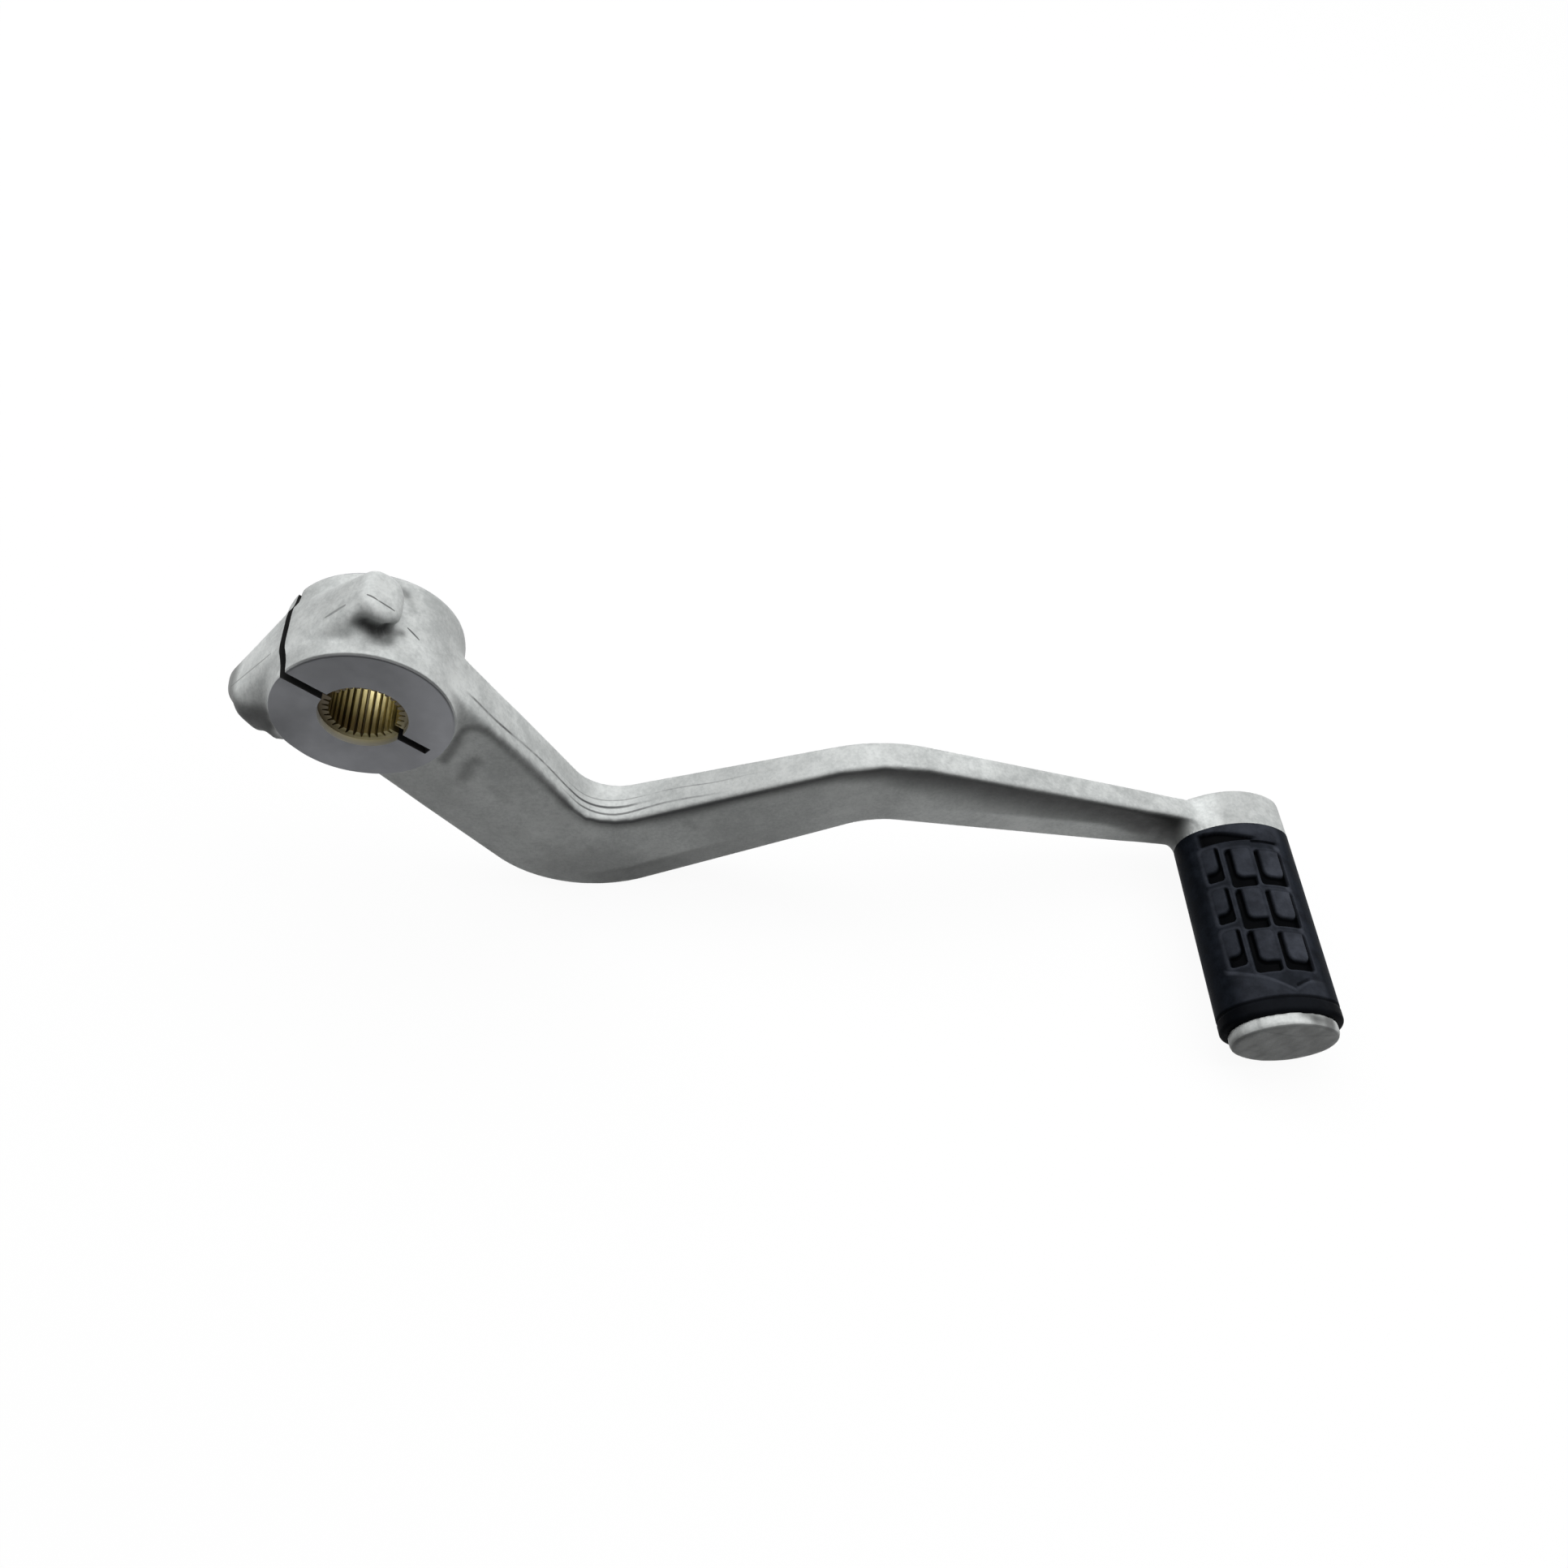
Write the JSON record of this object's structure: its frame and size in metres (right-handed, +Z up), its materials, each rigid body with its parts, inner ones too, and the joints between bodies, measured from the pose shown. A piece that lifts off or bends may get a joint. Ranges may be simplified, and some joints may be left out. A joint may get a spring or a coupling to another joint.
{
  "type": "motorbike foot lever",
  "caption": "Cranked cast foot lever with a split, serrated clamp hub at one end and an oval toe peg in a rubber sleeve at the other.",
  "frame": {"origin": "on the bore axis, at the middle of the hub", "axes": "+X along the lever towards the peg, +Y along the bore away from the rider's foot, +Z up; the lever rests on its bend and its peg with +Z up"},
  "size_m": [0.2085, 0.0631, 0.081],
  "materials": {
    "casting": "satin, as cast",
    "bush": "broached",
    "sleeve": "satin, moulded"
  },
  "bodies": {
    "root": {"lever_casting": "casting", "spline_bush_upper": "bush", "spline_bush_lower": "bush", "peg_rubber": "sleeve"}
  },
  "joints": []
}
